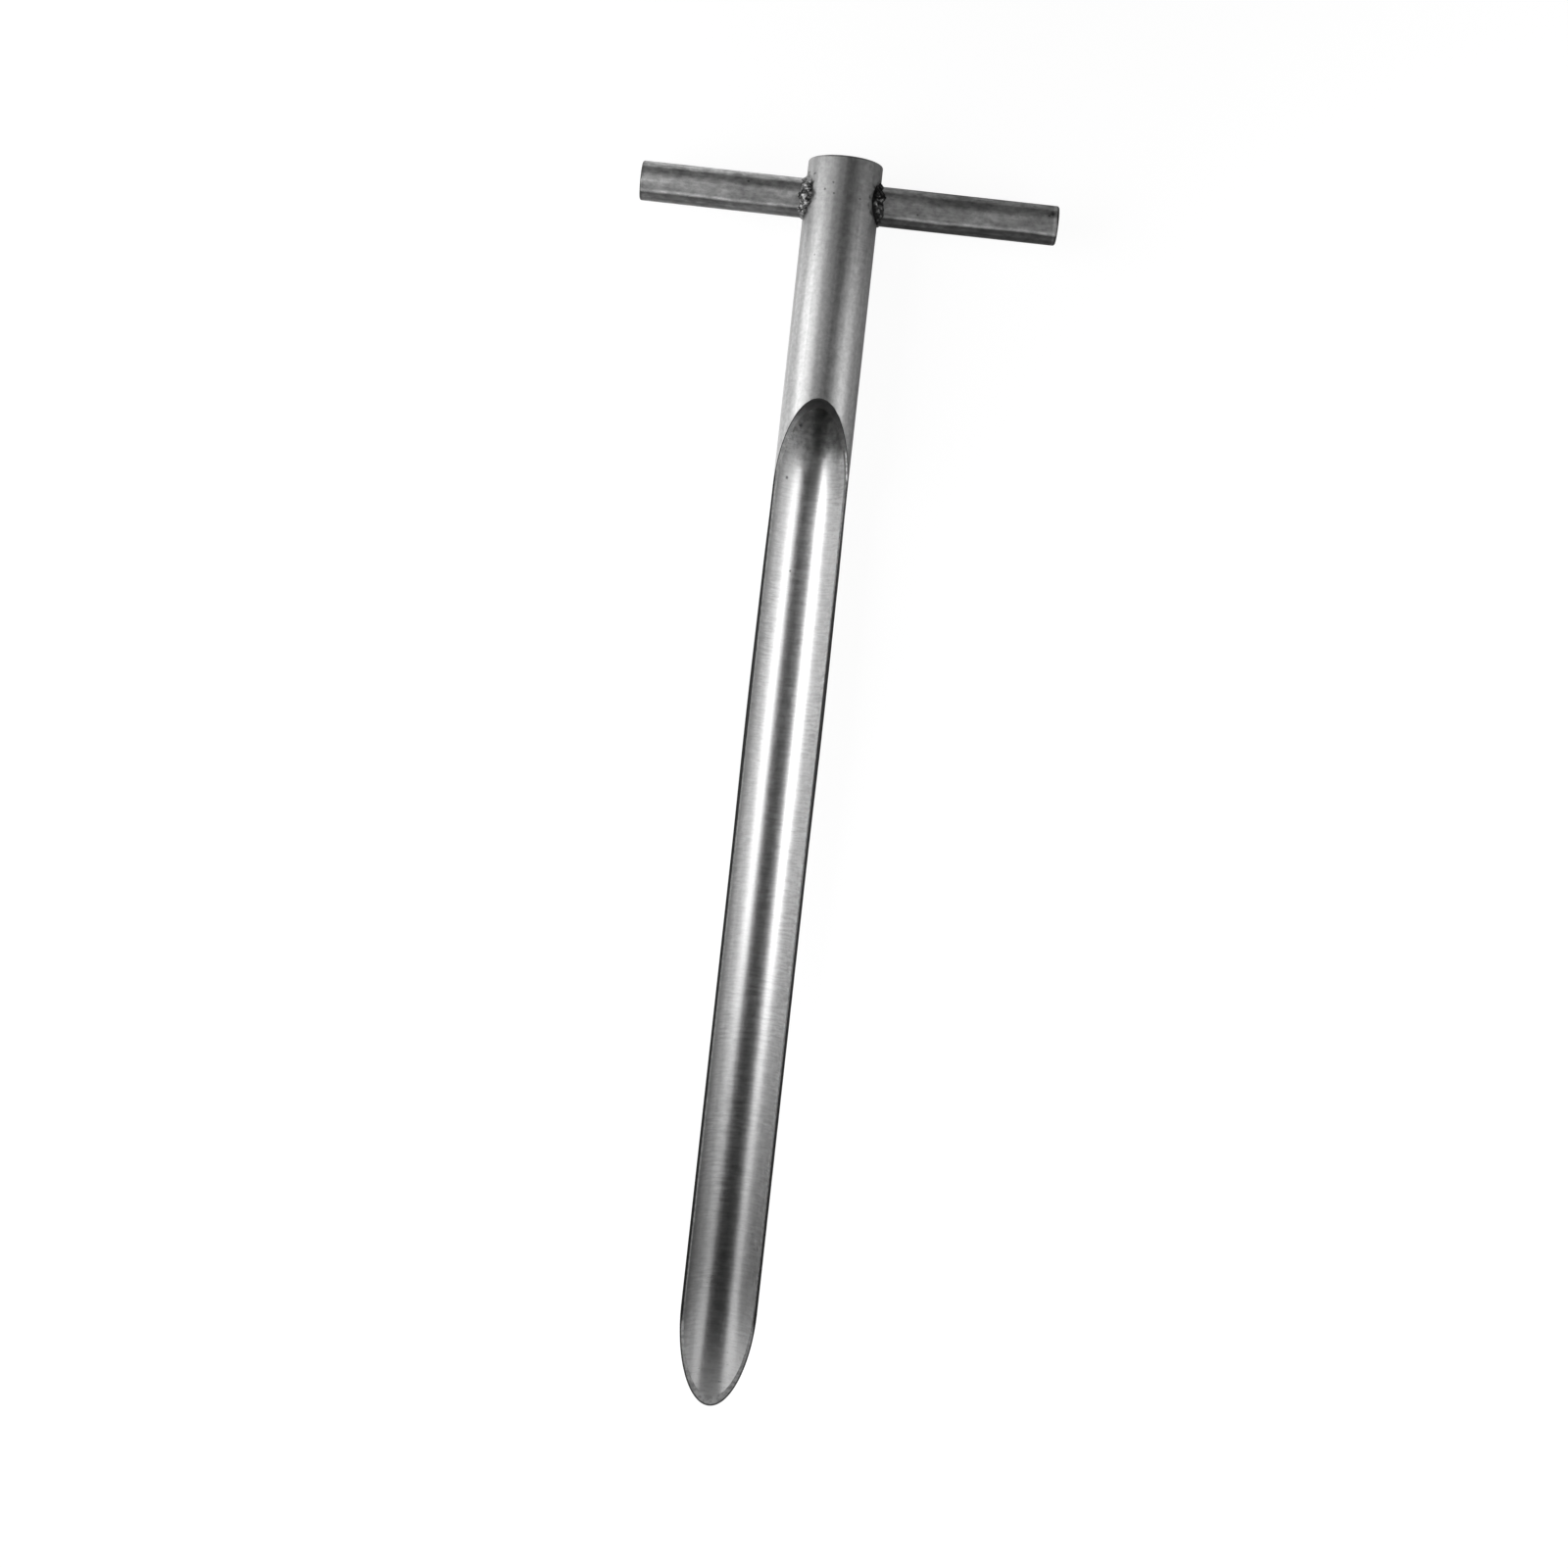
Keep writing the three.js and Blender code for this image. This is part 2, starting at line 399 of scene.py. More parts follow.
WELD_STEPS = 240
WELD_FACE_STEPS = 26
WELD_SINK = 0.12 * MM  # how deep a bead's root lies in the steel
WELD_LEAST_LEG = 0.2 * MM
WELD_CROWN = 0.2 * MM
WELD_ROUGH = 0.18 * MM
WELD_ROUGH_SCALE = 0.6 * MM
WELD_WANDER = 0.45  # how unevenly the bead's two toes run, as a share of its legs
WELD_WANDER_TURNS = 1.1  # cells of noise per radian round the bar
WELD_HOLLOW = 0.22  # of the face's width
WELD_THIN_SHARE = 0.2  # how far the face stands out above and below the bar, against its front
WELD_FRONT_LEG = 0.8 * MM  # on the tube, in front of and behind the bar
WELD_LOBE_ANGLE = math.radians(40)  # where a bead climbs furthest up the tube
WELD_LOBE_SPREAD = math.radians(22)
DROP_HEIGHT_SHARE = 0.6  # of a drop's radius
BACK_DROPS = 7
BACK_DROPS_START = 190  # degrees round the bar
BACK_DROPS_ARC = 160

# Each bead's leg along the bar, how much further up the tube it climbs at its lobes, the seed of
# what is drawn by lot, the tone of its brightest metal, and the height in millimetres above which
# it begins to brighten. Then the drops of metal on its front: degrees round the bar from up the
# tube towards the front, share of the way from the tube's toe to the bar's toe, and radius in
# millimetres.
LEFT_WELD = {
    "bar_leg": 2.9 * MM,
    "lobe": 1.1 * MM,
    "seed": 4,
    "brightest": 0.4,
    "least_bright": -0.1,
    "drops": [
        (28, 0.3, 0.7), (38, 0.75, 0.8), (52, 0.25, 0.65), (61, 0.55, 0.75), (76, 0.3, 0.6),
        (82, 0.75, 0.7), (94, 0.45, 0.85), (108, 0.85, 0.9), (112, 0.3, 0.7), (124, 0.55, 0.9),
        (140, 0.8, 0.75), (144, 0.35, 0.7), (162, 0.6, 0.6),
    ],
}
RIGHT_WELD = {
    "bar_leg": 2.6 * MM,
    "lobe": 1.2 * MM,
    "seed": 9,
    "brightest": 0.28,
    "least_bright": 0.14,
    "drops": [
        (24, 0.35, 0.65), (40, 0.65, 0.7), (50, 0.3, 0.6), (62, 0.7, 0.65), (72, 0.35, 0.7),
        (84, 0.7, 0.7), (95, 0.3, 0.65), (104, 0.7, 0.75), (116, 0.4, 0.75), (130, 0.7, 0.7),
        (142, 0.35, 0.65), (156, 0.65, 0.7),
    ],
}


def tube_half_width(distance, angle):
    """Half the tube's width in X at a distance from the bar's axis. The angle counts round the
    bar, from up the tube towards the front."""
    return math.sqrt(TUBE_RADIUS**2 - (distance * math.sin(angle)) ** 2)


def drops_of(weld):
    """The bead's drops: those on the front, and others drawn by lot behind."""
    drops = [(math.radians(turn), share, size * MM) for turn, share, size in weld["drops"]]
    draw = random.Random(weld["seed"])
    for i in range(BACK_DROPS):
        turn = BACK_DROPS_START + BACK_DROPS_ARC * (i + draw.uniform(0.2, 0.8)) / BACK_DROPS
        drops.append((math.radians(turn), draw.uniform(0.25, 0.75), draw.uniform(0.6, 0.9) * MM))
    return drops


def bead_height(angle, share, width, drops):
    """How far the bead's face stands out: a low crown, with drops of metal on it."""
    height = WELD_CROWN * math.sin(math.pi * share)
    for drop_angle, drop_share, radius in drops:
        turn = (angle - drop_angle + math.pi) % math.tau - math.pi
        round_bar = turn * (BAR_RADIUS + WELD_CROWN)
        across = (share - drop_share) * width
        inside = 1 - (round_bar**2 + across**2) / radius**2
        if inside > 0:
            height = max(height, DROP_HEIGHT_SHARE * radius * math.sqrt(inside))
    return height


def bead_legs(weld, angle):
    """How far the bead reaches along the bar and along the tube at an angle round the bar, and
    how much of its lobe is there."""
    turn = abs((angle + math.pi) % math.tau - math.pi)
    heavy = abs(math.sin(angle))
    lobe = math.exp(-(((turn - WELD_LOBE_ANGLE) / WELD_LOBE_SPREAD) ** 2))
    bar_leg = lerp(WELD_LEAST_LEG, weld["bar_leg"], heavy)
    tube_leg = lerp(WELD_LEAST_LEG, WELD_FRONT_LEG, heavy) + weld["lobe"] * lobe
    return bar_leg, tube_leg, lobe


def bead_section(weld, drops, angle):
    """The bead's section: its root, hidden in the steel, and its face, each as a distance from
    the bar's axis and one from the tube's, with how far each point stands out of the face. The
    face is hollow at the lobe, so that nothing fills the corner above the bar."""
    ring_place = Vector((math.cos(angle), math.sin(angle), weld["seed"]))
    bar_leg, tube_leg, lobe = bead_legs(weld, angle)
    tube_wander = 1 + WELD_WANDER * noise.noise(ring_place * WELD_WANDER_TURNS)
    bar_wander = 1 + WELD_WANDER * noise.noise(ring_place * WELD_WANDER_TURNS + ring_place)
    near = BAR_RADIUS - WELD_SINK
    far = BAR_RADIUS + tube_leg * tube_wander
    root = Vector((near, tube_half_width(near, angle) - WELD_SINK))
    tube_toe = Vector((far, tube_half_width(far, angle) - WELD_SINK))
    bar_toe = Vector((near, tube_half_width(BAR_RADIUS, angle) + bar_leg * bar_wander))
    slope = (bar_toe - tube_toe).normalized()
    outwards = Vector((slope.y, -slope.x))
    width = (bar_toe - tube_toe).length
    section = [(root, 0.0)]
    for i in range(WELD_FACE_STEPS + 1):
        share = i / WELD_FACE_STEPS
        spot = tube_toe.lerp(bar_toe, share)
        lump = Vector((spot.y, spot.x * math.cos(angle), spot.x * math.sin(angle)))
        rough = WELD_ROUGH * noise.noise(lump / WELD_ROUGH_SCALE + ring_place)
        ends = math.sin(math.pi * share) ** 0.5 * lerp(WELD_THIN_SHARE, 1.0, abs(math.sin(angle)))
        height = ends * min(bead_height(angle, share, width, drops) + rough, width / 3)
        hollow = WELD_HOLLOW * lobe * width * math.sin(math.pi * share)
        section.append((spot + outwards * (height - hollow), height))
    return section


def weld_bead(name, weld, side, material):
    drops = drops_of(weld)
    corners = []
    heights = []
    faces = []
    count = WELD_FACE_STEPS + 2
    for step in range(WELD_STEPS):
        angle = math.tau * step / WELD_STEPS
        for spot, height in bead_section(weld, drops, angle):
            y = BAR_Y + spot.x * math.cos(angle)
            corners.append((AXIS_X + side * spot.y, y, AXIS_Z + spot.x * math.sin(angle)))
            heights.append(height / MM)
        for i in range(count):
            here = [step * count + i, step * count + (i + 1) % count]
            there = [(c + count) % (WELD_STEPS * count) for c in here]
            quad = [here[0], here[1], there[1], there[0]]
            faces.append((quad[::-1] if side > 0 else quad, 0))
    mesh = mesh_from(name, corners, faces, [material])
    mesh.attributes.new("stands_out", "FLOAT", "POINT").data.foreach_set("value", heights)
    bead = new_piece(name, mesh)
    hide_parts("weld_" + name)


# Materials

# Most of a noise's values lie between these
NOISE_LOW = 0.3
NOISE_HIGH = 0.7


def add(tree, kind, inputs=None, **settings):
    """A node with its settings made and its inputs set, or linked where a socket is given."""
    node = tree.nodes.new(kind)
    for name, value in settings.items():
        setattr(node, name, value)
    for name, value in (inputs or {}).items():
        if isinstance(value, bpy.types.NodeSocket):
            tree.links.new(value, node.inputs[name])
        else:
            node.inputs[name].default_value = value
    return node


def maths(tree, operation, first, second=0.0):
    return add(tree, "ShaderNodeMath", {0: first, 1: second}, operation=operation).outputs[0]


def fit(tree, value, low, high, to_low, to_high, interpolation="SMOOTHSTEP"):
    """Maps a value from one range to another, held at the ends."""
    inputs = {0: value, 1: low, 2: high, 3: to_low, 4: to_high}
    return add(tree, "ShaderNodeMapRange", inputs, interpolation_type=interpolation).outputs[0]


def stretched_noise(tree, place, stretch, detail=2.0, roughness=0.5):
    """Noise whose grain is so many cells per metre along X, Y and Z."""
    scaled = add(tree, "ShaderNodeVectorMath", {0: place, 1: stretch}, operation="MULTIPLY")
    inputs = {"Vector": scaled.outputs[0], "Scale": 1.0, "Detail": detail, "Roughness": roughness}
    return add(tree, "ShaderNodeTexNoise", inputs, noise_dimensions="3D").outputs[0]


def vary(tree, from_noise, low, high, interpolation="SMOOTHSTEP"):
    """A value that wanders between low and high with a noise."""
    return fit(tree, from_noise, NOISE_LOW, NOISE_HIGH, low, high, interpolation)


def grey(tree, value):
    return add(tree, "ShaderNodeCombineColor", {0: value, 1: value, 2: value}).outputs[0]


def metal(name):
    """A metallic material. Returns it, its tree, its shader and the place of each point."""
    material = bpy.data.materials.new(name)
    material.use_nodes = True
    tree = material.node_tree
    shader = tree.nodes["Principled BSDF"]
    shader.inputs["Metallic"].default_value = 1.0
    place = add(tree, "ShaderNodeTexCoord").outputs["Object"]
    return material, tree, shader, place


def set_bump(tree, shader, height, distance):
    inputs = {"Height": height, "Distance": distance, "Strength": 1.0}
    bump = add(tree, "ShaderNodeBump", inputs)
    tree.links.new(bump.outputs[0], shader.inputs["Normal"])


def times(tree, *values):
    product = values[0]
    for value in values[1:]:
        product = maths(tree, "MULTIPLY", product, value)
    return product


def parts_of(tree, place):
    apart = add(tree, "ShaderNodeSeparateXYZ", {0: place}).outputs
    return apart["X"], apart["Y"], apart["Z"]


def away_from(tree, first, first_middle, second, second_middle):
    """Distance from an axis, out of the two coordinates across it and the axis's own."""
    one = maths(tree, "SUBTRACT", first, first_middle)
    other = maths(tree, "SUBTRACT", second, second_middle)
    squares = maths(tree, "ADD", times(tree, one, one), times(tree, other, other))
    return maths(tree, "SQRT", squares)


def clear_of(tree, place, pits):
    """0 in the middle of each pit and 1 away from them. A pit is (x, y, radius) in millimetres."""
    x, y, _ = parts_of(tree, place)
    flat = add(tree, "ShaderNodeCombineXYZ", {0: x, 1: y}).outputs[0]
    ragged = vary(tree, stretched_noise(tree, place, (1600, 1600, 1600)), 0.7, 1.3)
    clear = 1.0
    for pit_x, pit_y, radius in pits:
        middle = (pit_x * MM, pit_y * MM, 0)
        away = add(tree, "ShaderNodeVectorMath", {0: flat, 1: middle}, operation="DISTANCE")
        edge = fit(tree, times(tree, away.outputs["Value"], ragged), 0.0, radius * MM, 0.0, 1.0)
        clear = maths(tree, "MINIMUM", clear, edge)
    return clear


# The tube is duller outside than inside. Unpolished says how metallic the steel is where it is
# unpolished, on the left and on the right. Rougher sides is what the sides add to the roughness.
# Lines, grain and streaks say how much the tone varies, and even lines how much of the brush lines
# is left where they are weakest.
OUTSIDE = {
    "base": 0.48, "roughness": 0.43, "anisotropy": 0.3, "metallic": 0.85, "unpolished": (0.85, 0.85),
    "rougher_sides": 0.0, "lines": 0.07, "even_lines": 0.2, "grain": 0.14, "streaks": 0.17,
}
INSIDE = {
    "base": 0.93, "roughness": 0.39, "anisotropy": 0.4, "metallic": 1.0, "unpolished": (0.1, 0.6),
    "rougher_sides": 0.25, "lines": 0.14, "even_lines": 0.6, "grain": 0.05, "streaks": 0.03,
}
LINES_ROUGHNESS = 0.05  # how much the brush lines and the grain change the roughness
GRAIN_ROUGHNESS = 0.03
POLISHED_HALF = 3.5 * MM  # the scoop's inside is rougher further from its middle than this
BRUSH_TURN = 0.25  # of a full turn: the brush marks run round the tube
BRUSH_DEPTH = 0.0015 * MM
FINE_LINES_DEPTH = 0.3  # against the depth of the brush lines
OUTSIDE_PITS = [
    (-4.3, 144.6, 0.4), (-6.1, 143.0, 0.45), (-3.9, 142.0, 0.35), (2.5, 141.5, 0.45),
    (-6.8, 127.3, 0.35), (-8.9, 146.9, 0.5), (-10.3, 147.6, 0.45),
]
INSIDE_PITS = [(-5.8, 88.5, 0.7), (-7.7, 75.4, 0.6), (-4.4, 53.1, 0.45)]
PIT_TONE = 0.35
PIT_DEPTH = 3.0  # against the depth of the brush lines
# Painted shade on the outside, from here up to the bar, where the lamps' highlights fade
TOP_SHADE_LOW = 112 * MM
TOP_SHADE_TONE = 0.77
SOOT_REACH = 1.2 * MM
SOOT_TONE = 0.3
UNPOLISHED_LOW = 75 * MM
UNPOLISHED_HIGH = 86 * MM
UNPOLISHED_WANDER = 3 * MM  # to either side
UNPOLISHED_TONE_LEFT = 1.0
# Dirt and painted shade: the right of the unpolished steel darkens to this
DIRT_AND_SHADE_TONE_RIGHT = 0.35
DIM_RIGHT_LOW = 79 * MM  # from here up, the right of the unpolished steel is dimmer
DIM_RIGHT_HIGH = 84 * MM
# Painted shade under the shoulder's point, from here up
APEX_LOW = 86 * MM  # from here up, the steel under the shoulder's point is darker
APEX_SHADE_TONE = 0.85
DARK_MIDDLE = AXIS_X + 0.8 * MM
DARK_MIDDLE_HALF = 2.8 * MM
DARK_MIDDLE_SHARE = 0.6
DARK_MIDDLE_LOW = 62 * MM
DARK_MIDDLE_HIGH = 78 * MM
LIP_SHADE_REACH = 2 * MM
# Painted shade along the left lip
LIP_SHADE_TONE = 0.6
WORN_HIGH = -20 * MM
WORN_TONE = 0.7
WORN_SMOOTHER = 0.06  # how much less rough the steel is at the tip
TIP_BRIGHT_LOW = -142 * MM
TIP_BRIGHT_HIGH = -114 * MM  # below this, the tip is painted brighter: painted light where more light reaches the open, low-walled tip
TIP_PAINTED_LIGHT = 1.5
TIP_METALLIC_SHARE = 0.6

# The cut faces, with a dark line along their outer edge
CUT_METALLIC = 0.15
CUT_TONE_LEFT = 0.45
CUT_TONE_RIGHT = 0.4
# Painted shade at the shoulder's point and painted light at the tip
CUT_APEX_SHADE_TONE = 0.04  # at the shoulder's point, against the lips
CUT_APEX_LOW_LEFT = 84 * MM  # from here up, the shoulder's face darkens to that
CUT_APEX_LOW_RIGHT = 70 * MM
CUT_TIP_LIGHT_TONE = 2.1  # at the tip, against the lips
CUT_CHANGE_RUN = 7 * MM  # over which a face changes from a lip's look to a slope's
EDGE_LINE_ON_LIPS = 0.4 * MM  # how far into the wall the line starts, counted from the bore
EDGE_LINE_ON_SLOPES = 0.68 * MM
EDGE_LINE_BLEND = 0.15 * MM
EDGE_LINE_TONE = 0.04
EDGE_LINE_TONE_TIP = 0.12
CUT_BUMP = 0.02 * MM

# The painted highlight, a thin line on the right of the shoulder's cut face where a ground facet
# catches the light: where it begins across the tube, where it starts and ends along the tube, and
# how far into the wall
GLINT_LEFT = 0 * MM
GLINT_LEFT_FADE = 1 * MM
GLINT_LOW = 74 * MM
GLINT_HIGH = 83 * MM
GLINT_FADE = 2.5 * MM
GLINT_INNER = 0.3 * MM
GLINT_OUTER = 0.8 * MM


def outside_soot_and_shade(tree, place):
    """Painted shade towards the upper end, where the lamps' highlights fade, and sooty at the beads.
    """
    _, y, z = parts_of(tree, place)
    # painted shade towards the upper end
    top_shade = fit(tree, y, TOP_SHADE_LOW, BAR_Y, 1.0, TOP_SHADE_TONE)
    from_bar = away_from(tree, y, BAR_Y, z, AXIS_Z)
    patchy = vary(tree, stretched_noise(tree, place, (700, 700, 700), 3.0), 0.0, SOOT_REACH)
    near = maths(tree, "SUBTRACT", from_bar, patchy)
    return times(tree, top_shade, fit(tree, near, BAR_RADIUS, BAR_RADIUS + SOOT_REACH, SOOT_TONE, 1.0))


def unpolished_share(tree, place):
    """1 on the unpolished steel in the bore and under the shoulder's point, 0 elsewhere."""
    _, y, _ = parts_of(tree, place)
    wander = stretched_noise(tree, place, (300, 120, 300))
    ragged = vary(tree, wander, -UNPOLISHED_WANDER, UNPOLISHED_WANDER)
    return fit(tree, maths(tree, "ADD", y, ragged), UNPOLISHED_LOW, UNPOLISHED_HIGH, 0.0, 1.0)


def unpolished_tone_and_shade(tree, place):
    """Mottled, with dirt and painted shade on the right, and painted shade under the shoulder's
    point.
    """
    x, y, _ = parts_of(tree, place)
    # dirt and painted shade on the right
    dirt_and_shade_right = fit(tree, y, DIM_RIGHT_LOW, DIM_RIGHT_HIGH, 1.0, DIRT_AND_SHADE_TONE_RIGHT)
    return times(
        tree,
        fit(tree, x, HALF_LEFT, HALF_RIGHT, UNPOLISHED_TONE_LEFT, dirt_and_shade_right),
        # painted shade under the shoulder's point
        fit(tree, y, APEX_LOW, SHOULDER_POINT, 1.0, APEX_SHADE_TONE),
        vary(tree, stretched_noise(tree, place, (700, 600, 700), 3.0), 0.7, 1.2),
    )


def inside_tone_and_shade(tree, place):
    """Unpolished under the shoulder, with dirt and painted shade there, and dark in its middle there,
    painted shade along the left lip, worn towards the tip, and painted light on the tip itself."""
    x, y, _ = parts_of(tree, place)
    change = maths(tree, "SUBTRACT", unpolished_tone_and_shade(tree, place), 1.0)
    from_middle = maths(tree, "ABSOLUTE", maths(tree, "SUBTRACT", x, DARK_MIDDLE))
    dark_share = times(
        tree,
        fit(tree, from_middle, 0.0, DARK_MIDDLE_HALF, DARK_MIDDLE_SHARE, 0.0),
        fit(tree, y, DARK_MIDDLE_LOW, DARK_MIDDLE_HIGH, 0.0, 1.0),
    )
    left_lip = BORE_LEFT - LIP_SPREAD
    return times(
        tree,
        maths(tree, "ADD", times(tree, unpolished_share(tree, place), change), 1.0),
        maths(tree, "SUBTRACT", 1.0, dark_share),
        # painted shade along the left lip
        fit(tree, x, left_lip, left_lip + LIP_SHADE_REACH, LIP_SHADE_TONE, 1.0),
        fit(tree, y, TIP_END, WORN_HIGH, WORN_TONE, 1.0),
        # painted light at the tip
        fit(tree, y, TIP_BRIGHT_LOW, TIP_BRIGHT_HIGH, TIP_PAINTED_LIGHT, 1.0),
    )


def tube_steel(name, finish, tint, pits):
    """Steel polished round the tube with a fine belt, with grain, streaks along it and pits."""
    material, tree, shader, place = metal(name)
    lines = stretched_noise(tree, place, (250, 1700, 250), 3.0, 0.6)
    patches = stretched_noise(tree, place, (110, 70, 110), 2.0)
    where = fit(tree, patches, 0.45, 0.6, finish["even_lines"], 1.0)
    fine = stretched_noise(tree, place, (60, 5000, 60), 1.0)
    grain = stretched_noise(tree, place, (1000, 900, 1000), 4.0, 0.65)
    streaks = stretched_noise(tree, place, (420, 14, 420), 2.0, 0.6)
    clear = clear_of(tree, place, pits)
    brushed = times(tree, vary(tree, lines, -1.0, 1.0), where)
    tone = times(
        tree,
        maths(tree, "ADD", times(tree, brushed, finish["lines"]), 1.0),
        vary(tree, grain, 1 - finish["grain"], 1 + finish["grain"]),
        vary(tree, streaks, 1 - finish["streaks"], 1 + finish["streaks"]),
        fit(tree, clear, 0.0, 1.0, PIT_TONE, 1.0),
        tint(tree, place),
        finish["base"],
    )
    tree.links.new(grey(tree, tone), shader.inputs["Base Color"])
    x, y, _ = parts_of(tree, place)
    aside = maths(tree, "ABSOLUTE", maths(tree, "SUBTRACT", x, AXIS_X))
    rougher = fit(tree, aside, POLISHED_HALF, TUBE_INNER, 0.0, finish["rougher_sides"])
    rougher = maths(tree, "ADD", rougher, fit(tree, y, TIP_END, WORN_HIGH, -WORN_SMOOTHER, 0.0))
    grain_roughness = vary(tree, grain, -GRAIN_ROUGHNESS, GRAIN_ROUGHNESS)
    sheen = maths(tree, "ADD", grain_roughness, finish["roughness"])
    sheen = maths(tree, "ADD", sheen, times(tree, brushed, LINES_ROUGHNESS))
    sheen = maths(tree, "ADD", sheen, rougher)
    tree.links.new(sheen, shader.inputs["Roughness"])
    unpolished = unpolished_share(tree, place)
    unpolished_metallic = fit(tree, x, HALF_LEFT, HALF_RIGHT, *finish["unpolished"])
    metallic = fit(tree, unpolished, 0.0, 1.0, finish["metallic"], unpolished_metallic)
    at_tip = fit(tree, y, TIP_END, TIP_START, TIP_METALLIC_SHARE, 1.0)
    tree.links.new(times(tree, metallic, at_tip), shader.inputs["Metallic"])
    shader.inputs["Anisotropic"].default_value = finish["anisotropy"]
    shader.inputs["Anisotropic Rotation"].default_value = BRUSH_TURN
    around = add(tree, "ShaderNodeTangent", direction_type="RADIAL", axis="Y")
    tree.links.new(around.outputs[0], shader.inputs["Tangent"])
    height = maths(tree, "ADD", times(tree, lines, where), times(tree, fine, FINE_LINES_DEPTH))
    height = maths(tree, "ADD", height, times(tree, clear, PIT_DEPTH))
    set_bump(tree, shader, height, BRUSH_DEPTH)
    return material


def cut_steel():
    """The cut faces: grey along the lips, with painted shade at the shoulder's point and painted
    light at the tip, a dark line along their outer edge, and one thin painted highlight on the
    right of the shoulder."""
    material, tree, shader, place = metal("cut_steel")
    x, y, z = parts_of(tree, place)
    marks = stretched_noise(tree, place, (900, 900, 900), 3.0, 0.6)
    into_wall = maths(tree, "SUBTRACT", away_from(tree, x, AXIS_X, z, AXIS_Z), TUBE_INNER)
    at_tip = fit(tree, y, TIP_START - CUT_CHANGE_RUN, TIP_START, 1.0, 0.0)
    at_shoulder = fit(tree, y, SHOULDER_FOOT, SHOULDER_FOOT + CUT_CHANGE_RUN, 0.0, 1.0)
    sloped = maths(tree, "MAXIMUM", at_tip, at_shoulder)
    line_start = fit(tree, sloped, 0.0, 1.0, EDGE_LINE_ON_LIPS, EDGE_LINE_ON_SLOPES)
    past_start = maths(tree, "SUBTRACT", into_wall, line_start)
    in_line = fit(tree, past_start, 0.0, EDGE_LINE_BLEND, 0.0, 1.0)
    apex_low = fit(tree, x, BORE_LEFT, BORE_RIGHT, CUT_APEX_LOW_LEFT, CUT_APEX_LOW_RIGHT)
    face = times(
        tree,
        fit(tree, x, BORE_LEFT, BORE_RIGHT, CUT_TONE_LEFT, CUT_TONE_RIGHT),
        # painted shade at the shoulder's point
        fit(tree, y, apex_low, SHOULDER_POINT, 1.0, CUT_APEX_SHADE_TONE),
        # painted light at the tip
        fit(tree, at_tip, 0.0, 1.0, 1.0, CUT_TIP_LIGHT_TONE),
        fit(tree, marks, 0.35, 0.65, 0.7, 1.1),
        maths(tree, "SUBTRACT", 1.0, in_line),
    )
    # painted highlight: a thin bright line on the right of the shoulder's cut face
    glint = times(
        tree,
        fit(tree, x, GLINT_LEFT, GLINT_LEFT + GLINT_LEFT_FADE, 0.0, 1.0),
        fit(tree, y, GLINT_LOW, GLINT_LOW + GLINT_FADE, 0.0, 1.0),
        fit(tree, y, GLINT_HIGH - GLINT_FADE, GLINT_HIGH, 1.0, 0.0),
        fit(tree, marks, 0.35, 0.5, 0.5, 1.0),
        fit(tree, into_wall, GLINT_INNER, GLINT_INNER + EDGE_LINE_BLEND, 0.0, 1.0),
        fit(tree, into_wall, GLINT_OUTER - EDGE_LINE_BLEND, GLINT_OUTER, 1.0, 0.0),
    )
    line = times(tree, in_line, fit(tree, at_tip, 0.0, 1.0, EDGE_LINE_TONE, EDGE_LINE_TONE_TIP))
    tone = maths(tree, "MAXIMUM", maths(tree, "ADD", face, line), glint)
    tree.links.new(grey(tree, tone), shader.inputs["Base Color"])
    tree.links.new(vary(tree, marks, 0.4, 0.6), shader.inputs["Roughness"])
    shader.inputs["Metallic"].default_value = CUT_METALLIC
    set_bump(tree, shader, marks, CUT_BUMP)
    return material


# Tones of the bands along the bar: streaks that drawing left, a painted highlight in the bright line
# at -40 degrees, and painted shade in the dark bands from -105 to -40 degrees. Each starts at an
# angle round the bar, in degrees from the front towards the tube's upper end, and blends into the
# next over a few degrees.
BAR_STREAKS_AND_SHADING = [
    (-180, 0.5), (-150, 0.65), (-105, 0.3), (-84, 0.1), (-62, 0.17), (-40, 1.0), (-32, 0.55),
    (14, 0.42), (38, 0.68), (76, 0.5), (120, 0.6), (160, 0.5),
]
BAR_BAND_BLEND = 7
BAR_BAND_WANDER = 3  # degrees to either side
# The bar's arms: the right one is painted darker, a painted shade where the weaker lamp lights it
BAR_PAINTED_LIGHT_LEFT = 0.86
BAR_PAINTED_SHADE_RIGHT = 0.76
BAR_METALLIC = 0.6
BAR_MARKS = [(48.7, 143.8, 1.0), (47.9, 143.2, 0.6), (16.6, 140.0, 0.4), (-24.5, 143.6, 0.5)]
BAR_MARK_TONE = 0.35
TURNED_LENGTH = 2 * MM  # with lathe lines round it, at the right end
TURNED_TONE = 0.5  # how much the lathe lines change the tone
# Painted shade over this length at both rounded ends
SHADED_END_LENGTH = 0.9 * MM
SHADED_END_TONE = 0.08
BAR_BUMP = 0.01 * MM


def degrees_round_bar(tree, place):
    """The angle round the bar, from the front towards the tube's upper end."""
    _, y, z = parts_of(tree, place)
    up = maths(tree, "SUBTRACT", y, BAR_Y)
    front = maths(tree, "SUBTRACT", z, AXIS_Z)
    return maths(tree, "DEGREES", maths(tree, "ARCTAN2", up, front))


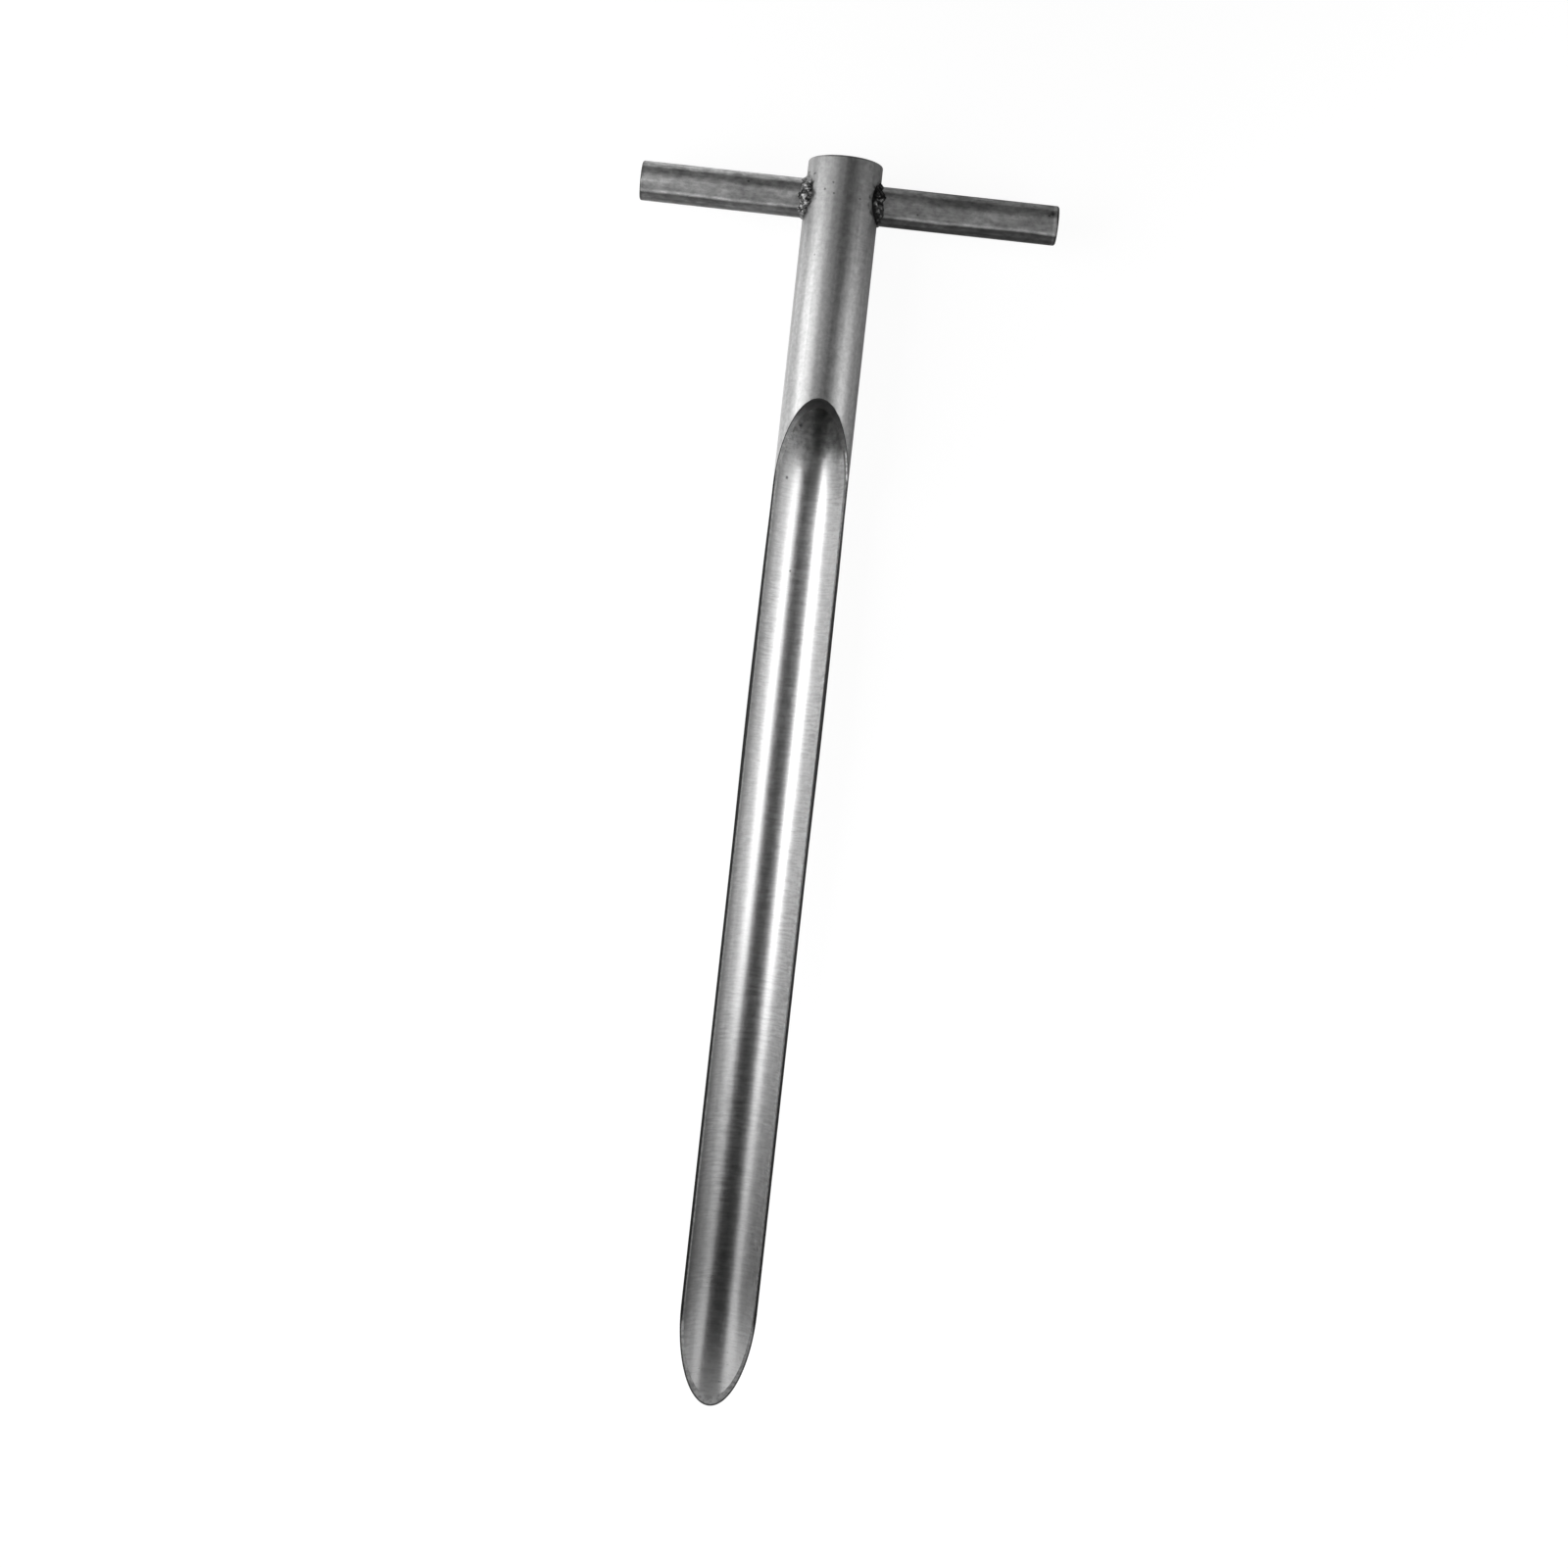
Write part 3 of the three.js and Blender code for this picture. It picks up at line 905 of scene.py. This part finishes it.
def streak_and_shading_tones(tree, turn):
    """The tone at an angle round the bar, from the streaks and the painted highlight and shade."""
    ramp = add(tree, "ShaderNodeValToRGB", {0: fit(tree, turn, -180, 180, 0, 1, "LINEAR")})
    stops = ramp.color_ramp.elements
    stops.remove(stops[1])
    tone = BAR_STREAKS_AND_SHADING[0][1]
    stops[0].position = 0
    stops[0].color = (tone, tone, tone, 1)
    for start, following in BAR_STREAKS_AND_SHADING[1:]:
        for turn_degrees, value in ((start - BAR_BAND_BLEND, tone), (start, following)):
            stop = stops.new((turn_degrees + 180) / 360)
            stop.color = (value, value, value, 1)
        tone = following
    return ramp.outputs[0]


def end_tones(tree, place):
    """Painted shade at both rounded ends, with lathe lines beside the right one."""
    x, _, _ = parts_of(tree, place)
    # painted shade at both rounded ends
    left = fit(tree, x, bar_low.x, bar_low.x + SHADED_END_LENGTH, SHADED_END_TONE, 1.0)
    right = fit(tree, x, bar_high.x - SHADED_END_LENGTH, bar_high.x, 1.0, SHADED_END_TONE)
    turned = fit(tree, x, bar_high.x - TURNED_LENGTH, bar_high.x - SHADED_END_LENGTH, 0.0, TURNED_TONE)
    lines = fit(tree, stretched_noise(tree, place, (2200, 20, 20)), 0.4, 0.6, -1.0, 1.0)
    return times(tree, left, right, maths(tree, "ADD", times(tree, turned, lines), 1.0))


def bar_steel():
    """Drawn steel: dull, with streaks along it, stains, dark marks and painted highlight and shade.
    """
    material, tree, shader, place = metal("drawn_steel")
    wander = stretched_noise(tree, place, (60, 60, 60), 3.0)
    sway = vary(tree, wander, -BAR_BAND_WANDER, BAR_BAND_WANDER, "LINEAR")
    turn = maths(tree, "ADD", degrees_round_bar(tree, place), sway)
    streaks = stretched_noise(tree, place, (40, 1100, 1100), 3.0, 0.6)
    stains = stretched_noise(tree, place, (450, 750, 750), 4.0, 0.65)
    patches = stretched_noise(tree, place, (130, 260, 260), 3.0, 0.6)
    x, _, _ = parts_of(tree, place)
    tone = times(
        tree,
        # streaks, with a painted highlight and painted shade in bands round the bar
        streak_and_shading_tones(tree, turn),
        # painted shade on the right arm
        fit(tree, x, TUBE_LEFT, TUBE_RIGHT, BAR_PAINTED_LIGHT_LEFT, BAR_PAINTED_SHADE_RIGHT),
        vary(tree, streaks, 0.85, 1.1),
        vary(tree, stains, 0.7, 1.25),
        fit(tree, patches, 0.35, 0.65, 0.75, 1.15),
        fit(tree, clear_of(tree, place, BAR_MARKS), 0.0, 1.0, BAR_MARK_TONE, 1.0),
        end_tones(tree, place),
    )
    tree.links.new(grey(tree, tone), shader.inputs["Base Color"])
    tree.links.new(vary(tree, stains, 0.5, 0.4), shader.inputs["Roughness"])
    shader.inputs["Metallic"].default_value = BAR_METALLIC
    set_bump(tree, shader, streaks, BAR_BUMP)
    return material


WELD_BRIGHTENING = 0.3  # millimetres of height over which a bead brightens
WELD_CRACK_INNER = 0.005  # a crack is black up to here in its winding noise
WELD_CRACK_OUTER = 0.045
WELD_BLACK = 0.03
WELD_BUMP = 0.05 * MM


def weld_metal(name, weld):
    """Weld metal as laid: black in its hollows and along its cracks, brighter on its drops."""
    material, tree, shader, place = metal(name)
    stands_out = add(tree, "ShaderNodeAttribute", attribute_name="stands_out").outputs["Fac"]
    winding = maths(tree, "SUBTRACT", stretched_noise(tree, place, (420, 420, 420), 2.0, 0.6), 0.5)
    specks = stretched_noise(tree, place, (1500, 1500, 1500), 3.0, 0.7)
    least_bright = weld["least_bright"]
    bright = times(
        tree,
        fit(tree, stands_out, least_bright, least_bright + WELD_BRIGHTENING, 0.0, 1.0),
        fit(tree, maths(tree, "ABSOLUTE", winding), WELD_CRACK_INNER, WELD_CRACK_OUTER, 0.0, 1.0),
        fit(tree, specks, 0.35, 0.65, 0.45, 1.0),
        weld["brightest"],
    )
    tree.links.new(grey(tree, maths(tree, "ADD", bright, WELD_BLACK)), shader.inputs["Base Color"])
    tree.links.new(vary(tree, specks, 0.6, 0.45), shader.inputs["Roughness"])
    set_bump(tree, shader, specks, WELD_BUMP)
    return material


# Studio

FLOOR_SIZE = 3.0
FLOOR_COLOUR = 0.5
FLOOR_GLOW = 1.24

# Below and to the right of these places the lamps light the floor less, and it glows more
LIT_LOW = 0.06
LIT_RIGHT = 0.02
GLOW_BLEND = 0.25
GLOW_MORE_BELOW = 0.12
GLOW_MORE_BESIDE = 0.06
GLOW_FOR_CAMERA = 0.75
GLOW_IN_REFLECTIONS_LEFT = 0.8
GLOW_IN_REFLECTIONS_RIGHT = 0.03
ROOM_LIGHT = 0.024

# Lamps: name, direction and width in degrees, low and high end along Y, and radiance
LAMPS = [
    ("left", -60, 52, -0.05, 0.195, 3.2),
    ("left_low", -60, 50, -0.24, -0.05, 0.6),
    ("left_upper", -14, 26, 0.15, 0.2, 1.8),
    ("right", 60, 44, -0.07, 0.14, 2.2),
    ("right_low", 60, 36, -0.24, -0.14, 0.6),
]
LAMP_DISTANCE = 0.24

# The camera, as fitted to the outline in the photograph
SENSOR_WIDTH = 36  # millimetres, like the lens
LENS_LENGTH = 60.75
CAMERA_PLACE = (-0.0002, 0.00144, 0.64515)
CAMERA_ROLL = 6.322  # degrees


def glow_share(tree, x):
    """How much of the floor's light is its own white glow: most of it for the camera, a share
    that fades to the right in reflections and through glass, and none for the light that the
    floor throws back."""
    path = add(tree, "ShaderNodeLightPath").outputs
    reflected = maths(tree, "MAXIMUM", path["Is Glossy Ray"], path["Is Transmission Ray"])
    fading = fit(tree, x, -LIT_RIGHT, LIT_RIGHT, GLOW_IN_REFLECTIONS_LEFT, GLOW_IN_REFLECTIONS_RIGHT)
    direct = times(tree, path["Is Camera Ray"], GLOW_FOR_CAMERA)
    return maths(tree, "MAXIMUM", direct, times(tree, reflected, fading))


def floor():
    half = FLOOR_SIZE / 2
    corners = [(-half, -half, 0), (half, -half, 0), (half, half, 0), (-half, half, 0)]
    material = bpy.data.materials.new("floor")
    material.use_nodes = True
    tree = material.node_tree
    tree.nodes.clear()
    colour = (FLOOR_COLOUR, FLOOR_COLOUR, FLOOR_COLOUR, 1)
    lit = add(tree, "ShaderNodeBsdfDiffuse", {"Color": colour})
    x, y, _ = parts_of(tree, add(tree, "ShaderNodeTexCoord").outputs["Object"])
    below = fit(tree, y, LIT_LOW, LIT_LOW - GLOW_BLEND, FLOOR_GLOW, FLOOR_GLOW + GLOW_MORE_BELOW)
    beside = fit(tree, x, LIT_RIGHT, LIT_RIGHT + GLOW_BLEND, 0.0, GLOW_MORE_BESIDE)
    glow = add(tree, "ShaderNodeEmission", {"Strength": maths(tree, "ADD", below, beside)})
    shaders = {0: glow_share(tree, x), 1: lit.outputs[0], 2: glow.outputs[0]}
    both = add(tree, "ShaderNodeMixShader", shaders)
    add(tree, "ShaderNodeOutputMaterial", {"Surface": both.outputs[0]})
    made = bpy.data.objects.new("floor", mesh_from("floor", corners, [([0, 1, 2, 3], 0)], [material]))
    bpy.context.scene.collection.objects.link(made)


def softbox(name, direction, width, low, high, radiance):
    """A rectangular lamp that looks at the tube's axis. Direction and width are in degrees round
    that axis, from straight up towards +X. The lamp reaches from low to high along Y."""
    angle = math.radians(direction)
    lamp = bpy.data.lights.new(name, "AREA")
    lamp.shape = "RECTANGLE"
    lamp.size = 2 * LAMP_DISTANCE * math.tan(math.radians(width / 2))
    lamp.size_y = high - low
    lamp.energy = radiance * lamp.size * lamp.size_y * math.pi
    made = bpy.data.objects.new(name, lamp)
    made.visible_camera = False
    x = AXIS_X + LAMP_DISTANCE * math.sin(angle)
    made.location = (x, (low + high) / 2, AXIS_Z + LAMP_DISTANCE * math.cos(angle))
    made.rotation_euler = (0, angle, 0)
    bpy.context.scene.collection.objects.link(made)


def surroundings():
    """The room: white for the camera beyond the floor, and a dim light all round, which is also
    what the steel reflects."""
    world = bpy.data.worlds.new("studio")
    world.use_nodes = True
    bpy.context.scene.world = world
    tree = world.node_tree
    tree.nodes.clear()
    path = add(tree, "ShaderNodeLightPath").outputs
    seen = maths(tree, "MAXIMUM", path["Is Camera Ray"], path["Is Transmission Ray"])
    strength = maths(tree, "MAXIMUM", seen, ROOM_LIGHT)
    light = add(tree, "ShaderNodeBackground", {"Color": (1, 1, 1, 1), "Strength": strength})
    add(tree, "ShaderNodeOutputWorld", {"Surface": light.outputs[0]})


def camera():
    lens = bpy.data.cameras.new("camera")
    lens.sensor_width = SENSOR_WIDTH
    lens.lens = LENS_LENGTH
    lens.clip_start = 0.01
    lens.clip_end = 10
    made = bpy.data.objects.new("camera", lens)
    made.location = CAMERA_PLACE
    made.rotation_euler = (0, 0, math.radians(CAMERA_ROLL))
    bpy.context.scene.collection.objects.link(made)
    bpy.context.scene.camera = made


outside = tube_steel("tube_outside", OUTSIDE, outside_soot_and_shade, OUTSIDE_PITS)
inside = tube_steel("tube_inside", INSIDE, inside_tone_and_shade, INSIDE_PITS)
probe_tube([outside, inside, cut_steel()])
handle_bar([bar_steel()])
weld_bead("bead_left", LEFT_WELD, -1, weld_metal("weld_metal_left", LEFT_WELD))
weld_bead("bead_right", RIGHT_WELD, 1, weld_metal("weld_metal_right", RIGHT_WELD))
floor()
for lamp in LAMPS:
    softbox(*lamp)
surroundings()
camera()
bpy.context.scene.view_settings.view_transform = "Standard"
